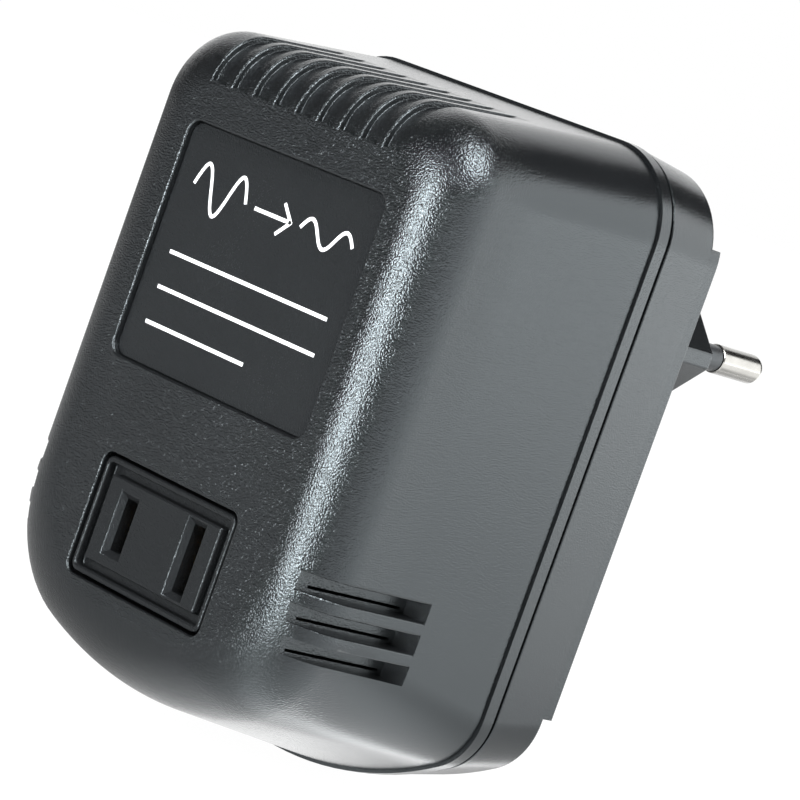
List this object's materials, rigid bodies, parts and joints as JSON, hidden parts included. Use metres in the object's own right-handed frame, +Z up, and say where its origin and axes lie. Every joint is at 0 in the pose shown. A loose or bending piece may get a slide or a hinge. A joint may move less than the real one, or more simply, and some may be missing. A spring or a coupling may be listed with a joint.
{
  "type": "travel voltage converter",
  "caption": "Plug-in voltage converter: drafted black housing with a flat-blade outlet low in front, vent grooves over the top edge, side slots and a round-pin plug at the back.",
  "frame": {"origin": "under the middle of the bounding box, at the lowest line of the bowed bottom", "axes": "+X to the right seen from the front, +Y out of the back along the plug pins, into the wall socket, +Z up"},
  "size_m": [0.064, 0.087, 0.0885],
  "materials": {
    "housing": "fine spark-eroded texture, charcoal ABS",
    "plate": "smoother and darker than the housing, with a plain white line motif",
    "outlet": "smooth black moulding",
    "carrier": "cream thermoset moulding",
    "contact_brass": "stamped spring brass",
    "screw_steel": "zinc-plated steel",
    "pin_nickel": "nickel-plated brass",
    "sleeve": "black insulating sleeve",
    "retainer": "dark grey moulding",
    "core_steel": "varnished silicon-steel laminations",
    "clamp_steel": "zinc-plated strap",
    "bobbin_nylon": "natural nylon",
    "winding_copper": "enamelled copper wire",
    "tape": "yellow polyester tape",
    "fuse_body": "white potted body",
    "tag_brass": "tinned brass",
    "lead_brown": "PVC insulation",
    "lead_blue": "PVC insulation",
    "lead_black": "PVC insulation",
    "lead_white": "PVC insulation"
  },
  "bodies": {
    "root": {"front_shell": "housing", "rear_cover": "housing", "rating_plate": "plate", "outlet_insert": "outlet", "contact_carrier": "carrier", "live_contact": "contact_brass", "neutral_contact": "contact_brass", "carrier_screws": "screw_steel", "plug_pins": "pin_nickel", "pin_sleeves": "sleeve", "pin_retainer": "retainer", "core_e_stack": "core_steel", "core_i_stack": "core_steel", "core_clamp": "clamp_steel", "bobbin": "bobbin_nylon", "primary_winding": "winding_copper", "secondary_winding": "winding_copper", "winding_tape": "tape", "thermal_fuse": "fuse_body", "terminal_tags": "tag_brass", "mains_live_lead": "lead_brown", "mains_neutral_lead": "lead_blue", "fuse_lead": "lead_brown", "output_live_lead": "lead_black", "output_neutral_lead": "lead_white", "case_screws": "screw_steel"}
  },
  "joints": []
}
